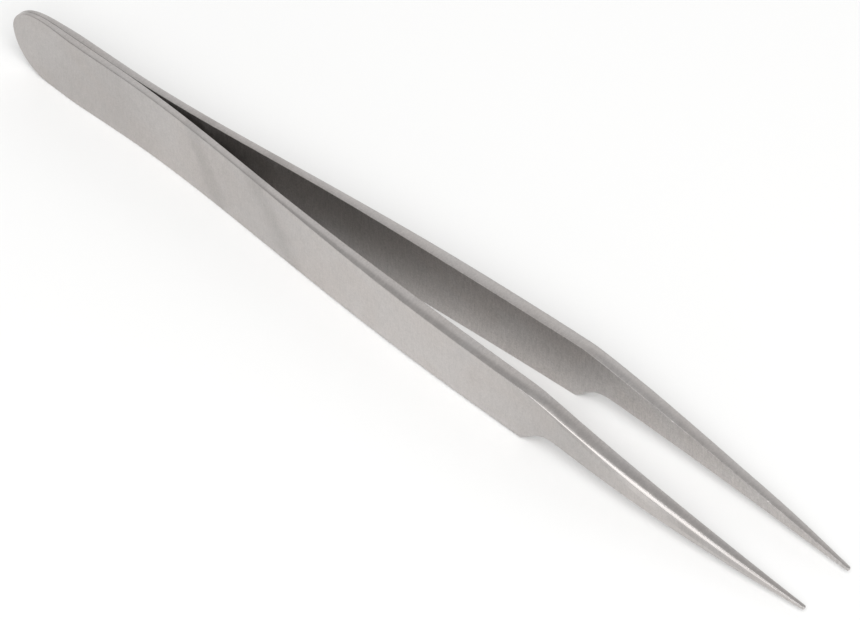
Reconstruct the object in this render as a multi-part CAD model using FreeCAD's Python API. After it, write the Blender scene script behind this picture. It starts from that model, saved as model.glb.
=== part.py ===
import FreeCAD, Part
import os
from FreeCAD import Vector

# Precision tweezers: two mirror-image sprung arms of stainless steel, spot-welded together
# face to face at the rear.
#
# The arms lie along X, rear end at -X and tips at +X. They stand on their lower long edges,
# so Z is the height of each arm and Y is the direction in which they open and close.
# The origin is at the middle of the overall length, midway between the arms, at the lower edges.
# Positions along the length are measured from the rear end and shifted to the origin at the end.

# ---------------------------------------------------------------- driving dimensions (mm)

# Lengths of the four stretches of an arm, from the rear end to the tip.
tail_length = 17.0          # arms flat against each other, welded
thinned_length = 10.5       # part of the tail over which the rear end is thinned down
leaf_length = 27.0          # thin leaf that bends when the tweezers are squeezed
grip_length = 37.9          # thick stretch held between the fingers
fine_length = 38.1          # slender stretch from the shoulder to the tip

# Heights of an arm (Z).
rear_height = 9.35          # at the welded rear
shoulder_height = 7.75      # at the shoulder, where the grip ends
tip_height = 0.42           # at the very tip
tip_clearance = 0.68        # lower side of the tip above the lower edges
tip_corner_radius = 0.14

# Shape of the rounded rear end, seen from the side.
rear_round_length = 6.2     # length over which the end rounds off
rear_apex_height = 5.2      # height of the rearmost point
rear_nose_handle = 1.5      # how blunt the rearmost point is
rear_edge_handle = 5.0      # how slowly the rounding leaves the long edges

# Shape of the shoulder, seen from the side.
shoulder_rise = 2.8         # step of the lower edge at the shoulder
shoulder_run = 3.1          # length of the ramp that makes this step
shoulder_corner_radius = 0.5    # of the lower edge, where the ramp starts
shoulder_foot_radius = 4.0      # hollow between the ramp and the slender stretch
upper_corner_radius = 16.0      # soft bend of the upper edge above the shoulder
fine_hollow = 0.15          # how far the upper edge of the slender stretch hollows in
fine_lower_hollow = 0.07    # how far its lower edge hollows in

# Thicknesses of an arm (Y).
rear_thickness = 0.38       # at the rear end, which is thinned down on its outer side
leaf_thickness = 0.9        # of the rest of the tail and of the leaf
leaf_end_thickness = 1.0
grip_thickness = 1.55       # at the middle of the grip
shoulder_thickness = 1.66
fine_thickness = 1.68       # where the slender stretch stands furthest out
point_thickness = 0.92      # where the last short stretch to the tip starts
tip_thickness = 0.42

# Half of the gap between the arms, from the middle plane to each inner face.
leaf_half_gap = 0.62        # at the middle of the leaf
leaf_end_half_gap = 1.80
grip_half_gap = 2.88        # at the middle of the grip
shoulder_half_gap = 3.55
fine_half_gap = 3.75        # where the slender stretch stands furthest out
point_half_gap = 3.55
tip_half_gap = 3.43
fine_bow_position = 15.5    # where that is, measured from the shoulder
point_length = 6.0          # last short stretch, which tapers faster down to the tip

# The arms bend in the leaf. Each is cut there, at the middle of the leaf, into a fixed rear
# piece and a swinging blade, with this clearance between the two cut faces.
flex_gap = 0.06

# Spot welds between the two tails: discs of fused metal, half in each arm.
nugget_radius = 1.3
nugget_depth = 0.25         # into each arm
nugget_count = 2
nugget_spacing = 6.0
nugget_first = 6.5          # centre of the first one from the rear end


# ---------------------------------------------------------------- worked-out positions (mm)

flex_position = tail_length + leaf_length / 2
leaf_end = tail_length + leaf_length
shoulder = leaf_end + grip_length
length = shoulder + fine_length
tip_top = tip_clearance + tip_height
margin = 5.0                # how far the cutting prisms stand out past the arm


def curve(points, first_tangent, last_tangent):
    """A smooth curve through the points, which starts and ends in these directions."""
    spline = Part.BSplineCurve()
    spline.interpolate(Points=points, InitialTangent=first_tangent, FinalTangent=last_tangent)
    return spline.toShape()


def bezier(points):
    """A Bezier curve with these poles."""
    arc = Part.BezierCurve()
    arc.setPoles(points)
    return arc.toShape()


def line(start, end):
    """A straight edge."""
    return Part.LineSegment(start, end).toShape()


def arm_profile():
    """The left arm from above: flat tail, curved leaf, grip and fine stretch. Full height."""
    stations = [
        (tail_length, 0.0, leaf_thickness),
        (flex_position, leaf_half_gap, leaf_thickness),
        (leaf_end, leaf_end_half_gap, leaf_end_thickness),
        (leaf_end + grip_length / 2, grip_half_gap, grip_thickness),
        (shoulder, shoulder_half_gap, shoulder_thickness),
        (shoulder + fine_bow_position, fine_half_gap, fine_thickness),
        (length - point_length, point_half_gap, point_thickness),
        (length, tip_half_gap, tip_thickness),
    ]
    inner = [Vector(x, gap, 0) for x, gap, thickness in stations]
    outer = [Vector(x, gap + thickness, 0) for x, gap, thickness in stations]
    along = Vector(1, 0, 0)
    rear_inner = Vector(0, 0, 0)
    rear_outer = Vector(0, rear_thickness, 0)
    thinned_end = Vector(thinned_length, leaf_thickness, 0)
    wire = Part.Wire([
        line(rear_inner, inner[0]),
        curve(inner, along, (inner[-1] - inner[-2]).normalize()),
        line(inner[-1], outer[-1]),
        curve(outer, along, (outer[-1] - outer[-2]).normalize()),
        line(outer[0], thinned_end),
        line(thinned_end, rear_outer),
        line(rear_outer, rear_inner),
    ])
    face = Part.Face(wire)
    face.translate(Vector(0, 0, -margin))
    return face.extrude(Vector(0, 0, rear_height + 2 * margin))


def edge_at(shape, x, z):
    """The edge that runs along Y through this place of the side outline."""
    for edge in shape.Edges:
        box = edge.BoundBox
        across = box.YLength > margin and box.XLength < 0.001 and box.ZLength < 0.001
        if across and abs(box.XMin - x) < 0.001 and abs(box.ZMin - z) < 0.001:
            return edge


def side_outline():
    """The arm from the side, as a prism wider than the arm: its heights and its two ends."""
    apex = Vector(0, 0, rear_apex_height)
    low_start = Vector(rear_round_length, 0, 0)
    top_start = Vector(rear_round_length, 0, rear_height)
    low_corner = Vector(shoulder, 0, 0)
    ramp_end = Vector(shoulder + shoulder_run, 0, shoulder_rise)
    tip_low = Vector(length, 0, tip_clearance)
    tip_high = Vector(length, 0, tip_top)
    top_corner = Vector(shoulder + shoulder_run / 2, 0, shoulder_height)
    upper_middle = (top_corner + tip_high) / 2 - Vector(0, 0, fine_hollow)
    lower_middle = (ramp_end + tip_low) / 2 - Vector(0, 0, fine_lower_hollow)
    wire = Part.Wire([
        bezier([
            apex,
            apex - Vector(0, 0, rear_nose_handle),
            low_start - Vector(rear_edge_handle, 0, 0),
            low_start,
        ]),
        line(low_start, low_corner),
        line(low_corner, ramp_end),
        Part.Arc(ramp_end, lower_middle, tip_low).toShape(),
        line(tip_low, tip_high),
        Part.Arc(tip_high, upper_middle, top_corner).toShape(),
        line(top_corner, top_start),
        bezier([
            top_start,
            top_start - Vector(rear_edge_handle, 0, 0),
            apex + Vector(0, 0, rear_nose_handle),
            apex,
        ]),
    ])
    face = Part.Face(wire)
    face.translate(Vector(0, -margin, 0))
    prism = face.extrude(Vector(0, fine_half_gap + fine_thickness + 2 * margin, 0))
    for corner, radius in (
        (low_corner, shoulder_corner_radius),
        (ramp_end, shoulder_foot_radius),
        (top_corner, upper_corner_radius),
        (tip_low, tip_corner_radius),
        (tip_high, tip_corner_radius),
    ):
        prism = prism.makeFillet(radius, [edge_at(prism, corner.x, corner.z)])
    return prism


def nuggets():
    """The weld nuggets, across the plane where the two tails touch."""
    discs = []
    for number in range(nugget_count):
        start = Vector(nugget_first + number * nugget_spacing, -nugget_depth, rear_height / 2)
        discs.append(Part.makeCylinder(nugget_radius, 2 * nugget_depth, start, Vector(0, 1, 0)))
    return Part.makeCompound(discs)


def slab(start, end):
    """A block wider and higher than the arm between two places along the length."""
    corner = Vector(start, -margin, -margin)
    width = fine_half_gap + fine_thickness + 2 * margin
    return Part.makeBox(end - start, width, rear_height + 2 * margin, corner)


def mirrored(shape):
    """The same piece on the other arm."""
    return shape.mirror(Vector(0, 0, 0), Vector(0, 1, 0))


def write(name, shape):
    """Write one piece, moved so that the origin is at the middle of the length."""
    shape.translate(Vector(-length / 2, 0, 0))
    shape.exportStep("parts/" + name + ".step")


# ---------------------------------------------------------------- the pieces

os.makedirs("parts", exist_ok=True)

arm = arm_profile().common(side_outline()).cut(nuggets())
tail = arm.common(slab(-margin, flex_position - flex_gap / 2))
blade = arm.common(slab(flex_position + flex_gap / 2, length + margin))

write("left_arm_tail", tail.copy())
write("right_arm_tail", mirrored(tail))
write("left_arm_blade", blade.copy())
write("right_arm_blade", mirrored(blade))
write("weld_nuggets", nuggets())
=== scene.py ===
import math

import bpy
import numpy as np
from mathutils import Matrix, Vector


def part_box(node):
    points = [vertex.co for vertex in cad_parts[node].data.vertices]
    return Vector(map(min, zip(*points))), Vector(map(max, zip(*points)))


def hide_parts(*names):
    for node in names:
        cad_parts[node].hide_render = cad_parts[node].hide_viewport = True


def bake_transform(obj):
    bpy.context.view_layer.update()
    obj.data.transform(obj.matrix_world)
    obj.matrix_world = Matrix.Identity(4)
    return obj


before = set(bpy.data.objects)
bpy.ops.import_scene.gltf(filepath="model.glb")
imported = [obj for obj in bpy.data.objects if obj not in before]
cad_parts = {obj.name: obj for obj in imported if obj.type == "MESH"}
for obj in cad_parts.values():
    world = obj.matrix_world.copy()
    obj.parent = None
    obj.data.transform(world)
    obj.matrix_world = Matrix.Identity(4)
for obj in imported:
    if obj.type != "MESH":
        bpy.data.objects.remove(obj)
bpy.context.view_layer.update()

# Lengths are in millimetres until a mesh or the camera is made, except where a comment says metres.
MM = 0.001

# Camera: where it looks, from which side, how far off, and its lens.
AIM_AHEAD = 4.73
AIM_ASIDE = -0.84
AIM_HEIGHT = 4.5
CAMERA_AZIMUTH = 42.575
CAMERA_ELEVATION = 45.976
CAMERA_DISTANCE = 595.8
CAMERA_LENS = 230.8

# Stretches of an arm, measured from the rear end or back from the tip, and the spacing of sections.
CAP_LENGTH = 6.2
CAP_SECTIONS = 30
BROAD_STEP = 1.2
SHOULDER_START = 41.5
SHOULDER_END = 29.0
SHOULDER_STEP = 0.2
FINE_STEP = 0.7
TIP_LENGTH = 1.2
TIP_STEP = 0.12
TIP_ROUND = 0.145
TIP_SECTIONS = 8

# How the outlines are read from the CAD meshes: how square a broad face and an edge face stand to their
# axis, how far round the weld nuggets corners are left out, how close together points are kept, and how
# many points the rim's curve gets from one of them to the next.
BROAD_FACE_NORMAL = 0.7
EDGE_FACE_NORMAL = 0.02
NUGGET_MARGIN = 0.1
FACE_SPACING = 0.3
RIM_SPACING = 0.01
RIM_STEPS = 17

# Hand-finished edges. Tilts are in degrees from the edge face's own direction towards the outer face.
# The crown is the part of an edge face that was sanded over, as a share of the thickness, the break is
# the facet between it and the outer face, and the soft round is the strip of the outer face next to the
# break, which curves over. A narrow turn leads into the break and another out of it. The inner arris is
# a plain round, and the hold is a strip of each broad face that keeps its shading flat. Each stop is a
# distance back from the tip and the value there. The left arm was ground less near its tip.
CROWN_STEPS = 5
CROWN_STOPS = ((120, 0.2), (82, 0.25), (70, 0.4), (58, 0.5), (0, 0.5))
CROWN_TILT_STOPS = ((120, 12), (82, 15), (70, 26), (38, 27), (30, 17), (22, 12), (0, 12))
TURN_WIDTH = 0.02
TURN_IN_TILT = 45.0
BREAK_TILTS = (56.0, 61.0)
TURN_OUT_TILT = 66.0
SOFT_TILTS = (70.0, 76.0, 82.0, 86.0, 88.0)
TOP_BREAK_STOPS = {
    "left_arm": (
        (120, 0.03), (60, 0.03), (42, 0.04), (34, 0.10), (29, 0.16),
        (22, 0.38), (16, 0.34), (10, 0.16), (6, 0.06), (0, 0.04),
    ),
    "right_arm": (
        (120, 0.03), (60, 0.03), (42, 0.04), (34, 0.09), (29, 0.16),
        (22, 0.40), (14, 0.36), (6, 0.24), (1.5, 0.10), (0, 0.05),
    ),
}
TOP_SOFT_STOPS = {
    "left_arm": (
        (120, 0.05), (80, 0.14), (42, 0.20), (34, 0.28),
        (24, 0.50), (16, 0.60), (9, 0.20), (0, 0.03),
    ),
    "right_arm": (
        (120, 0.05), (80, 0.14), (42, 0.20), (34, 0.30),
        (24, 0.60), (16, 0.90), (9, 0.60), (0, 0.03),
    ),
}
BOTTOM_BREAK = 0.05
BOTTOM_SOFT_STOPS = ((120, 0.08), (3, 0.08), (0, 0.03))
INNER_ROUND = 0.055
INNER_STEPS = 3
HOLD = 0.04

# How much darker the soft round's colour is painted, at distances back from the tip: a painted reflection,
# painted darker where this is above 0 and lighter where it is below.
SOFT_PAINTED_REFLECTION_STOPS = (
    (120, 0.0), (38, 0.0), (32, 0.5), (26, 0.2), (22, -0.6),
    (18, 0.1), (15, 0.9), (8, 0.5), (2, 0.0), (0, 0.0),
)

# How much lighter or darker the outer face's colour is made, at distances back from the tip.
OUTER_TONE_STOPS = (
    (120, 0.90), (102, 0.89), (94, 0.97), (88, 0.93), (77, 0.92), (70, 1.0),
    (54, 1.03), (44, 1.0), (37, 0.93), (30, 0.89), (22, 0.99), (0, 0.99),
)

# How light the inner face's colour is, at distances back from the tip: painted shade darkens it where the
# arms are close, as the narrow gap between them lies in shade.
INNER_PAINTED_SHADE_STOPS = (
    (120, 1.0), (82, 1.0), (76, 0.90), (70, 0.80), (62, 0.86),
    (54, 0.97), (40, 0.96), (32, 0.98), (0, 0.98),
)

# Shares of the depth from the outer face to the inner one: where the outer face ends, where the inner
# face starts, where the inner side's look begins, and where the last arris begins and is full.
OUTER_SHARE = 0.05
INNER_SHARE = 0.98
INNER_LOOK_SHARE = 0.9
ARRIS_SHARES = (0.93, 0.98)

# How polished the narrow breaks are away from the ground tips, which are 1, and how far back from the tip
# the ground stretch and the painted glints on the left arm's inner arris begin and are full.
EDGE_WEAR = 0.35
GROUND_STARTS = 41
GROUND_FULL = 36
PAINTED_GLINTS_START = 28
PAINTED_GLINTS_FULL = 24

# The steel: colours, features a millimetre of each pattern along X, Y and Z, and how much each of them
# changes the lightness, the roughness and the relief, whose depth is in metres. A range is where a
# pattern starts to count and where it counts in full. Smudges are a place along X, a lean with height
# and a width: the waver bends them, and they fade out between two multiples of the width.
STEEL_WARM = (0.532, 0.503, 0.486, 1)
STEEL_COOL = (0.518, 0.496, 0.484, 1)
COOL_RANGE = (0.35, 0.65)
GRAIN_SCALE = (4.5, 4.5, 4.5)
BRUSH_SCALE = (5, 0.7, 0.7)
MOTTLE_SCALE = (0.9, 0.9, 0.9)
CLOUD_SCALE = (0.14, 0.2, 0.2)
WAVER_SCALE = (0.35, 0.35, 0.35)
# Painted glints: bright specks painted into the colour of the left arm's inner arris, how many a millimetre
# and where they show.
PAINTED_GLINT_SCALE = (1.1, 2, 2)
PAINTED_GLINT_RANGE = (0.62, 0.72)
SMUDGES = ((-26.0, 0.48, 1.2), (-13.1, 0.86, 1.9))
SMUDGE_WAVER = 3.0
SMUDGE_FADE = (0.2, 1.6)
GRAIN_LIGHTNESS = {"plain": 0.40, "inner": 0.30, "polish": -0.30}
BRUSH_LIGHTNESS = {"plain": 0.20, "inner": 0.25}
# The soft term paints a reflection on the soft round, darker or lighter along the arm; the specks term
# paints glints.
LIGHTNESS = {"mottle": 0.19, "cloud": 0.12, "smudges": -0.08, "polish": 0.12, "soft": -0.22, "painted_glints": 0.55}
ROUGHNESS = {"plain": 0.34, "brush": 0.10, "mottle": 0.08, "smudges": 0.06, "inner": 0.08, "polish": -0.14}
BRUSH_RELIEF = {"plain": 0.5, "inner": 0.8}
POLISHED_RELIEF = -0.7
RELIEF_DEPTH = 6e-6

# The weld metal: colours, spots a metre, roughness and how much the spots add to it, and the relief's
# strength and its depth in metres.
WELD_DARK = (0.34, 0.30, 0.25, 1)
WELD_LIGHT = (0.45, 0.42, 0.38, 1)
WELD_SPOTS = 2500.0
WELD_ROUGHNESS = 0.4
WELD_SPOT_ROUGHNESS = 0.25
WELD_RELIEF = 0.6
WELD_RELIEF_DEPTH = 1e-5

# The floor, in metres.
FLOOR_REACH = 3.0
FLOOR_COLOUR = (0.88, 0.88, 0.875, 1)
FLOOR_ROUGHNESS = 0.9

# Soft lights, in metres: the way to each of them, its width and height, and its brightness.
WORLD_BRIGHTNESS = 0.46
LIGHT_DISTANCE = 1.2
SOFTBOXES = {
    "back_panel": ((-0.44, 0.72, 0.53), 1.8, 1.05, 0.44),
    "key_softbox": ((0.47, -0.42, 0.77), 1.0, 1.0, 4.4),
    "edge_strip": ((-0.25, -0.95, 0.22), 0.42, 0.48, 1.5),
}


def smooth_rise(x, start, end):
    """0 before start, 1 after end, and an even rise between them."""
    share = np.clip((x - start) / (end - start), 0, 1)
    return share * share * (3 - 2 * share)


def monotone_slopes(t, v):
    """Slopes of a curve through the points (t, v) that never overshoots them."""
    width = np.diff(t)
    secant = np.diff(v) / width
    slopes = np.empty(len(t))
    slopes[0], slopes[-1] = secant[0], secant[-1]
    before, after = secant[:-1], secant[1:]
    same_way = before * after > 0
    w_before, w_after = width[:-1] + 2 * width[1:], 2 * width[:-1] + width[1:]
    with np.errstate(divide="ignore", invalid="ignore"):
        mean = (w_before + w_after) / (w_before / before + w_after / after)
    slopes[1:-1] = np.where(same_way, mean, 0)
    return slopes


def through(t, v, at):
    """The value at each of at, on the smooth curve through the points (t, v)."""
    slopes = monotone_slopes(t, v)
    i = np.clip(np.searchsorted(t, at) - 1, 0, len(t) - 2)
    width = t[i + 1] - t[i]
    u = np.clip((at - t[i]) / width, 0, 1)
    return (
        v[i] * (1 + 2 * u) * (1 - u) ** 2
        + v[i + 1] * (3 - 2 * u) * u ** 2
        + width * u * (1 - u) * (slopes[i] * (1 - u) - slopes[i + 1] * u)
    )


def spaced(points, least):
    """The points in order, less those nearer than least to the one kept before. Both ends are kept."""
    kept = [points[0]]
    for p in points[1:-1]:
        if math.dist(p, kept[-1]) >= least and math.dist(p, points[-1]) >= least:
            kept.append(p)
    return np.array(kept + [points[-1]])


class Arm:
    """The outlines of one CAD arm, read from its two nodes.

    Top and bottom are seen from the side, outer and inner from above.
    """

    def __init__(self, name, side):
        self.name, self.side = name, side
        self.nodes = (name + "_tail", name + "_blade")
        found = {"top": set(), "bottom": set(), "outer": set(), "inner": set()}
        for node in self.nodes:
            self.sort_corners(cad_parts[node].data, found)
        rear_end = min(found["top"] | found["bottom"])
        found["top"].add(rear_end)
        found["bottom"].add(rear_end)
        self.rims = {kind: self.rim(sorted(found[kind])) for kind in ("top", "bottom")}
        self.faces = {kind: spaced(sorted(found[kind]), FACE_SPACING) for kind in ("outer", "inner")}

    def sort_corners(self, mesh, found):
        """Every corner of an arm's sections lies on one edge face and one broad face."""
        margin = Vector((NUGGET_MARGIN, NUGGET_MARGIN, NUGGET_MARGIN))
        low, high = (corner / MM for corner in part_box("weld_nuggets"))
        low, high = low - margin, high + margin
        for face in mesh.polygons:
            n = face.normal
            if abs(n.y) > BROAD_FACE_NORMAL:
                kind = "outer" if n.y * self.side > 0 else "inner"
            elif abs(n.z) > EDGE_FACE_NORMAL:
                kind = "top" if n.z > 0 else "bottom"
            else:
                continue
            for v in face.vertices:
                x, y, z = mesh.vertices[v].co / MM
                if low.x < x < high.x and low.z < z < high.z:
                    continue
                across = self.side * y if kind in ("outer", "inner") else z
                found[kind].add((round(x, 4), round(across, 4)))

    def rim(self, points):
        """A dense run of points on the smooth curve through an outline in side view."""
        p = spaced(points, RIM_SPACING)
        along = np.concatenate([[0], np.cumsum(np.hypot(*np.diff(p, axis=0).T))])
        runs = [np.linspace(a, b, RIM_STEPS) for a, b in zip(along, along[1:])]
        dense = np.unique(np.concatenate(runs))
        return through(along, p[:, 0], dense), through(along, p[:, 1], dense)

    def height(self, kind, x):
        return np.interp(x, *self.rims[kind])

    def reach(self, kind, x):
        """Distance of a broad face from the middle plane."""
        return through(self.faces[kind][:, 0], self.faces[kind][:, 1], x)


def stations(rear, tip):
    """Places of the sections along an arm, close together where its outline turns."""
    cap = rear + CAP_LENGTH * (1 - np.cos(np.linspace(0, math.pi / 2, CAP_SECTIONS)))
    marks = (
        (rear + CAP_LENGTH, tip - SHOULDER_START, BROAD_STEP),
        (tip - SHOULDER_START, tip - SHOULDER_END, SHOULDER_STEP),
        (tip - SHOULDER_END, tip - TIP_LENGTH, FINE_STEP),
        (tip - TIP_LENGTH, tip - TIP_ROUND, TIP_STEP),
    )
    runs = [np.linspace(a, b, round((b - a) / step) + 1)[1:] for a, b, step in marks]
    end = tip - TIP_ROUND * (1 - np.sin(np.linspace(0, math.pi / 2, TIP_SECTIONS)))
    return np.concatenate([cap, *runs, end[1:]])


def outline(arm, x):
    """The closed side outline: along the top from the rear end to the tip, and back along the bottom."""
    top = np.column_stack([x, arm.height("top", x)])
    bottom = np.column_stack([x, arm.height("bottom", x)])
    return np.vstack([top, bottom[:0:-1]])


def inward(loop):
    """The direction into the outline at each of its points."""
    step = np.roll(loop, -1, axis=0) - loop
    step /= np.linalg.norm(step, axis=1)[:, None]
    tangent = step + np.roll(step, 1, axis=0)
    tangent /= np.linalg.norm(tangent, axis=1)[:, None]
    return np.column_stack([tangent[:, 1], -tangent[:, 0]])


def value_at(stops, back):
    """The value that a list of stops gives at each distance back from the tip."""
    places, values = zip(*reversed(stops))
    return np.interp(back, places, values)


def edge_profile(thickness, crown, crown_tilt, facet, soft):
    """An edge in section, from the outer face to the inner one.

    Each row is the depth from the outer face, the distance in from the outline, and a mark, which is
    1 on the break, 2 on the soft round and 0 elsewhere.
    """
    crown_tilts = [crown_tilt * (i + 0.5) / CROWN_STEPS for i in range(CROWN_STEPS)]
    crown_step = crown * thickness / CROWN_STEPS
    runs = [(tilt, crown_step / math.cos(math.radians(tilt)), 0) for tilt in crown_tilts]
    runs.append((TURN_IN_TILT, TURN_WIDTH, 1))
    runs += [(tilt, facet / len(BREAK_TILTS), 1) for tilt in BREAK_TILTS]
    runs.append((TURN_OUT_TILT, TURN_WIDTH, 0))
    runs += [(tilt, soft / len(SOFT_TILTS), 2) for tilt in SOFT_TILTS]
    runs.append((90.0, HOLD, 0))
    depth = sum(length * math.cos(math.radians(tilt)) for tilt, length, _ in runs)
    rows = [(depth, 0.0, 0)]
    for tilt, length, mark in runs:
        turn = math.radians(tilt)
        rows.append((rows[-1][0] - length * math.cos(turn), rows[-1][1] + length * math.sin(turn), mark))
    rows.reverse()
    for i in range(INNER_STEPS + 1):
        turn = math.pi / 2 * i / INNER_STEPS
        rows.append((thickness - INNER_ROUND * (1 - math.sin(turn)), INNER_ROUND * (1 - math.cos(turn)), 0))
    rows.append((thickness, INNER_ROUND + HOLD, 0))
    return rows


def edge_profiles(name, thickness, back, on_top):
    """The section of the edge at each point round the outline."""
    crowns = value_at(CROWN_STOPS, back)
    tilts = value_at(CROWN_TILT_STOPS, back)
    facets = np.where(on_top, value_at(TOP_BREAK_STOPS[name], back), BOTTOM_BREAK)
    softs = np.where(on_top, value_at(TOP_SOFT_STOPS[name], back), value_at(BOTTOM_SOFT_STOPS, back))
    return np.array([edge_profile(*sizes) for sizes in zip(thickness, crowns, tilts, facets, softs)])


def add_mark(mesh, name, values):
    """A number at each point of the mesh, for its material."""
    attribute = mesh.attributes.new(name, "FLOAT", "POINT")
    attribute.data.foreach_set("value", values.astype(np.float32).ravel())


def build_arm(arm):
    """One arm from end to end: a rounded rim round its side outline, and its two broad faces."""
    rear, tip = arm.rims["top"][0][0], arm.rims["top"][0][-1]
    x = stations(rear, tip)
    loop = outline(arm, x)
    into = inward(loop)
    thickness = arm.reach("outer", loop[:, 0]) - arm.reach("inner", loop[:, 0])
    on_top = np.arange(len(loop)) < len(x)
    profiles = edge_profiles(arm.name, thickness, tip - loop[:, 0], on_top)
    count, rows = len(loop), profiles.shape[1]
    depth, inset, mark = profiles[:, :, 0], profiles[:, :, 1], profiles[:, :, 2]
    px = loop[:, None, 0] + into[:, None, 0] * inset
    pz = loop[:, None, 1] + into[:, None, 1] * inset
    outer, inner = arm.reach("outer", px), arm.reach("inner", px)
    share = depth / thickness[:, None]
    py = arm.side * (outer + (inner - outer) * share)
    points = np.stack([px, py, pz], axis=2).reshape(-1, 3)

    def at(i, row):
        return (i % count) * rows + row

    faces = []
    for i in range(count):
        for row in range(rows - 1):
            faces.append((at(i, row), at(i + 1, row), at(i + 1, row + 1), at(i, row + 1)))
    last = len(x) - 1
    for row, flip in ((0, True), (rows - 1, False)):
        for i in range(last):
            top, top_next = at(i, row), at(i + 1, row)
            bottom, bottom_next = at(-i, row), at(-i - 1, row)
            corners = [top, top_next, bottom_next] if i == 0 else [top, top_next, bottom_next, bottom]
            faces.append(tuple(corners[::-1] if flip else corners))
    if arm.side < 0:
        faces = [face[::-1] for face in faces]

    mesh = bpy.data.meshes.new(arm.name + "_steel")
    mesh.from_pydata((points * MM).tolist(), [], faces)
    mesh.polygons.foreach_set("use_smooth", [True] * len(mesh.polygons))
    rest = mesh.attributes.new("rest_place", "FLOAT_VECTOR", "POINT")
    rest.data.foreach_set("vector", points.astype(np.float32).ravel())
    back = tip - px
    ground_tips = smooth_rise(-back, -GROUND_STARTS, -GROUND_FULL)
    painted_glint_places = smooth_rise(-back, -PAINTED_GLINTS_START, -PAINTED_GLINTS_FULL)
    add_mark(mesh, "edge_polish", (mark == 1) * (EDGE_WEAR + (1 - EDGE_WEAR) * ground_tips))
    # The outer face's tone along the arm, and painted shade on the inner face where the arms are close.
    tone_and_painted_shade = np.where(share < OUTER_SHARE, value_at(OUTER_TONE_STOPS, back), 1.0)
    add_mark(mesh, "tone_and_painted_shade", np.where(share > INNER_SHARE, value_at(INNER_PAINTED_SHADE_STOPS, back), tone_and_painted_shade))
    # Painted reflection on the soft round: darker or lighter along the arm.
    add_mark(mesh, "soft_painted_reflection", (mark == 2) * value_at(SOFT_PAINTED_REFLECTION_STOPS, back))
    add_mark(mesh, "inner_side", smooth_rise(share, INNER_LOOK_SHARE, 1.0))
    last_arris = smooth_rise(share, *ARRIS_SHARES) * (inset < INNER_ROUND + HOLD / 2)
    # Painted glints on the left arm's inner arris.
    add_mark(mesh, "painted_glint_mark", (arm.side > 0) * last_arris * painted_glint_places)
    piece = bpy.data.objects.new(arm.name + "_steel", mesh)
    bpy.context.scene.collection.objects.link(piece)
    return piece


class Shading:
    """Builds a material's nodes by short calls.

    All of them but node and feed return the output socket to carry on from.
    """

    def __init__(self, name):
        self.material = bpy.data.materials.new(name)
        self.material.use_nodes = True
        self.tree = self.material.node_tree
        self.shader = self.tree.nodes["Principled BSDF"]

    def node(self, kind, inputs=(), **settings):
        made = self.tree.nodes.new("ShaderNode" + kind)
        for name, value in settings.items():
            setattr(made, name, value)
        for name, value in dict(inputs).items():
            self.feed(made.inputs[name], value)
        return made

    def feed(self, socket, value):
        if isinstance(value, bpy.types.NodeSocket):
            self.tree.links.new(value, socket)
        else:
            socket.default_value = value

    def mark(self, name):
        return self.node("Attribute", attribute_name=name).outputs["Fac"]

    def place(self, scale):
        """The point at rest in millimetres, times scale along each axis."""
        rest = self.node("Attribute", attribute_name="rest_place").outputs["Vector"]
        return self.node("VectorMath", {0: rest, 1: scale}, operation="MULTIPLY").outputs[0]

    def noise(self, scale, detail=2.0, roughness=0.5, distortion=0.0):
        """Noise from 0 to 1 with that many features a millimetre along each axis."""
        inputs = {"Scale": 1.0, "Detail": detail, "Roughness": roughness, "Distortion": distortion}
        return self.node("TexNoise", {"Vector": self.place(scale), **inputs}).outputs["Fac"]

    def math(self, operation, a, b=0.0, c=0.0):
        return self.node("Math", {0: a, 1: b, 2: c}, operation=operation).outputs[0]

    def times(self, value, by):
        return self.math("MULTIPLY", value, by)

    def sway(self, value, amount):
        """A 0 to 1 value as a number that sways about 0 by up to half of amount."""
        return self.math("MULTIPLY_ADD", value, amount, -amount / 2)

    def total(self, *values):
        result = values[0]
        for value in values[1:]:
            result = self.math("ADD", result, value)
        return result

    def ramp(self, value, low, high):
        """0 below low and 1 above high, with a soft rise between."""
        inputs = {"Value": value, "From Min": low, "From Max": high}
        return self.node("MapRange", inputs, interpolation_type="SMOOTHSTEP").outputs["Result"]

    def mixed(self, share, a, b):
        made = self.node("Mix", data_type="RGBA")
        self.feed(made.inputs["Factor"], share)
        self.feed(made.inputs[6], a)
        self.feed(made.inputs[7], b)
        return made.outputs[2]

    def scaled(self, colour, by):
        return self.node("VectorMath", {0: colour, "Scale": by}, operation="SCALE").outputs[0]


def smudge(sh, place, lean, width, waver):
    """1 along a soft band across an arm, at a distance along it that leans with height."""
    parts = sh.node("SeparateXYZ", {"Vector": sh.place((1, 1, 1))}).outputs
    leant = sh.math("MULTIPLY_ADD", parts["Z"], lean, -place)
    off = sh.total(parts["X"], leant, sh.sway(waver, SMUDGE_WAVER))
    near = sh.math("DIVIDE", sh.math("ABSOLUTE", off), width)
    return sh.math("SUBTRACT", 1.0, sh.ramp(near, *SMUDGE_FADE))


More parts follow.
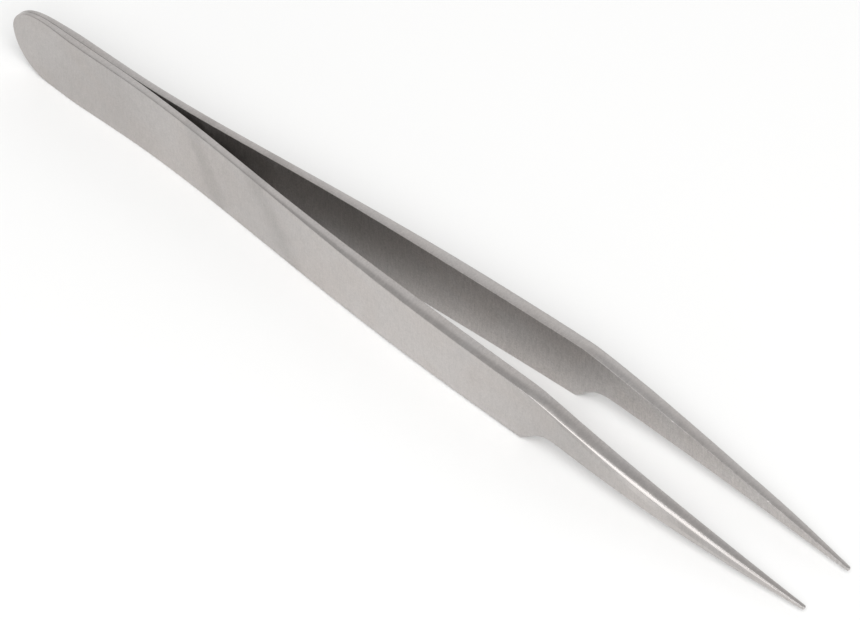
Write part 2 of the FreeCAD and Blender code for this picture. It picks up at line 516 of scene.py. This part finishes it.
def steel_material():
    """Satin stainless steel: cross-brushed and mottled, with smudges left by wiping, polished breaks and
    duller inner faces, painted shade on the inner faces where the arms are close, a painted reflection
    on the soft rounds and painted glints on the left arm's inner arris."""
    sh = Shading("satin_steel")
    grain = sh.noise(GRAIN_SCALE, detail=3.0, roughness=0.7)
    brush = sh.noise(BRUSH_SCALE, detail=3.0, roughness=0.65)
    mottle = sh.noise(MOTTLE_SCALE, detail=4.0, roughness=0.6)
    cloud = sh.noise(CLOUD_SCALE, distortion=0.6)
    waver = sh.noise(WAVER_SCALE)
    polish = sh.mark("edge_polish")
    inner = sh.mark("inner_side")
    smudges = sh.total(*(smudge(sh, *sizes, waver) for sizes in SMUDGES))
    # Painted glints: bright specks painted on the left arm's inner arris.
    painted_glints = sh.times(sh.ramp(sh.noise(PAINTED_GLINT_SCALE), *PAINTED_GLINT_RANGE), sh.mark("painted_glint_mark"))

    grain_amount = sh.total(
        GRAIN_LIGHTNESS["plain"],
        sh.times(inner, GRAIN_LIGHTNESS["inner"]),
        sh.times(polish, GRAIN_LIGHTNESS["polish"]),
    )
    brush_amount = sh.math("MULTIPLY_ADD", inner, BRUSH_LIGHTNESS["inner"], BRUSH_LIGHTNESS["plain"])
    lightness = sh.total(
        1.0,
        sh.times(sh.math("SUBTRACT", grain, 0.5), grain_amount),
        sh.times(sh.math("SUBTRACT", brush, 0.5), brush_amount),
        sh.sway(mottle, LIGHTNESS["mottle"]),
        sh.sway(cloud, LIGHTNESS["cloud"]),
        sh.times(smudges, LIGHTNESS["smudges"]),
        sh.times(polish, LIGHTNESS["polish"]),
        # Painted reflection on the soft round.
        sh.times(sh.mark("soft_painted_reflection"), LIGHTNESS["soft"]),
        sh.times(painted_glints, LIGHTNESS["painted_glints"]),
    )
    # Tone along the outer face, and painted shade on the inner faces where the arms are close.
    lightness = sh.times(lightness, sh.mark("tone_and_painted_shade"))
    steel = sh.mixed(sh.ramp(cloud, *COOL_RANGE), STEEL_WARM, STEEL_COOL)
    sh.feed(sh.shader.inputs["Base Color"], sh.scaled(steel, lightness))

    roughness = sh.total(
        ROUGHNESS["plain"],
        sh.sway(brush, ROUGHNESS["brush"]),
        sh.sway(mottle, ROUGHNESS["mottle"]),
        sh.times(smudges, ROUGHNESS["smudges"]),
        sh.times(inner, ROUGHNESS["inner"]),
        sh.times(polish, ROUGHNESS["polish"]),
    )
    sh.feed(sh.shader.inputs["Roughness"], roughness)
    sh.shader.inputs["Metallic"].default_value = 1.0

    brush_relief = sh.math("MULTIPLY_ADD", inner, BRUSH_RELIEF["inner"], BRUSH_RELIEF["plain"])
    relief = sh.total(sh.times(brush, brush_relief), grain)
    relief = sh.times(relief, sh.math("MULTIPLY_ADD", polish, POLISHED_RELIEF, 1.0))
    bump = sh.node("Bump", {"Height": relief, "Strength": 1.0, "Distance": RELIEF_DEPTH})
    sh.feed(sh.shader.inputs["Normal"], bump.outputs["Normal"])
    return sh.material


def weld_material():
    """Metal of a spot weld: darker and rougher than the arms, with a faint straw tint."""
    sh = Shading("weld_metal")
    place = sh.node("TexCoord").outputs["Object"]
    spots = sh.node("TexNoise", {"Vector": place, "Scale": WELD_SPOTS, "Detail": 3.0}).outputs["Fac"]
    sh.feed(sh.shader.inputs["Base Color"], sh.mixed(spots, WELD_DARK, WELD_LIGHT))
    roughness = sh.math("MULTIPLY_ADD", spots, WELD_SPOT_ROUGHNESS, WELD_ROUGHNESS)
    sh.feed(sh.shader.inputs["Roughness"], roughness)
    sh.shader.inputs["Metallic"].default_value = 1.0
    bump = sh.node("Bump", {"Height": spots, "Strength": WELD_RELIEF, "Distance": WELD_RELIEF_DEPTH})
    sh.feed(sh.shader.inputs["Normal"], bump.outputs["Normal"])
    return sh.material


def floor_material():
    """A plain, pale, matt floor."""
    sh = Shading("pale_floor")
    sh.shader.inputs["Base Color"].default_value = FLOOR_COLOUR
    sh.shader.inputs["Roughness"].default_value = FLOOR_ROUGHNESS
    return sh.material


def add_floor():
    reach = FLOOR_REACH
    corners = [(-reach, -reach, 0), (reach, -reach, 0), (reach, reach, 0), (-reach, reach, 0)]
    mesh = bpy.data.meshes.new("floor")
    mesh.from_pydata(corners, [], [(0, 1, 2, 3)])
    mesh.materials.append(floor_material())
    floor = bpy.data.objects.new("floor", mesh)
    bpy.context.scene.collection.objects.link(floor)


def add_softbox(name, direction, width, height, brightness):
    """A rectangular light that faces the object.

    Brightness is how bright the light looks, where the white floor is about 1.
    """
    data = bpy.data.lights.new(name, "AREA")
    data.shape = "RECTANGLE"
    data.size, data.size_y = width, height
    data.energy = brightness * math.pi * width * height
    light = bpy.data.objects.new(name, data)
    away = Vector(direction).normalized()
    light.location = away * LIGHT_DISTANCE
    light.rotation_mode = "QUATERNION"
    light.rotation_quaternion = away.to_track_quat("Z", "Y")
    bpy.context.scene.collection.objects.link(light)


def add_lights():
    world = bpy.data.worlds.new("studio")
    bpy.context.scene.world = world
    world.use_nodes = True
    background = world.node_tree.nodes["Background"]
    background.inputs["Color"].default_value = (1, 1, 1, 1)
    background.inputs["Strength"].default_value = WORLD_BRIGHTNESS
    for name, sizes in SOFTBOXES.items():
        add_softbox(name, *sizes)


def add_camera():
    azimuth, elevation = math.radians(CAMERA_AZIMUTH), math.radians(CAMERA_ELEVATION)
    back = Vector((
        math.sin(azimuth) * math.cos(elevation),
        -math.cos(azimuth) * math.cos(elevation),
        math.sin(elevation),
    ))
    data = bpy.data.cameras.new("camera")
    data.lens = CAMERA_LENS
    camera = bpy.data.objects.new("camera", data)
    camera.location = (Vector((AIM_AHEAD, AIM_ASIDE, AIM_HEIGHT)) + back * CAMERA_DISTANCE) * MM
    camera.rotation_mode = "QUATERNION"
    camera.rotation_quaternion = back.to_track_quat("Z", "Y")
    bpy.context.scene.collection.objects.link(camera)
    bpy.context.scene.camera = camera


def add_arms():
    steel = steel_material()
    for name, side in (("left_arm", 1), ("right_arm", -1)):
        piece = build_arm(Arm(name, side))
        piece.data.materials.append(steel)
        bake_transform(piece)
        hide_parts(name + "_tail", name + "_blade")


def dress_nuggets():
    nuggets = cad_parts["weld_nuggets"]
    nuggets.data.materials.clear()
    nuggets.data.materials.append(weld_material())


add_camera()
add_floor()
add_lights()
add_arms()
dress_nuggets()
bpy.context.scene.view_settings.view_transform = "Standard"
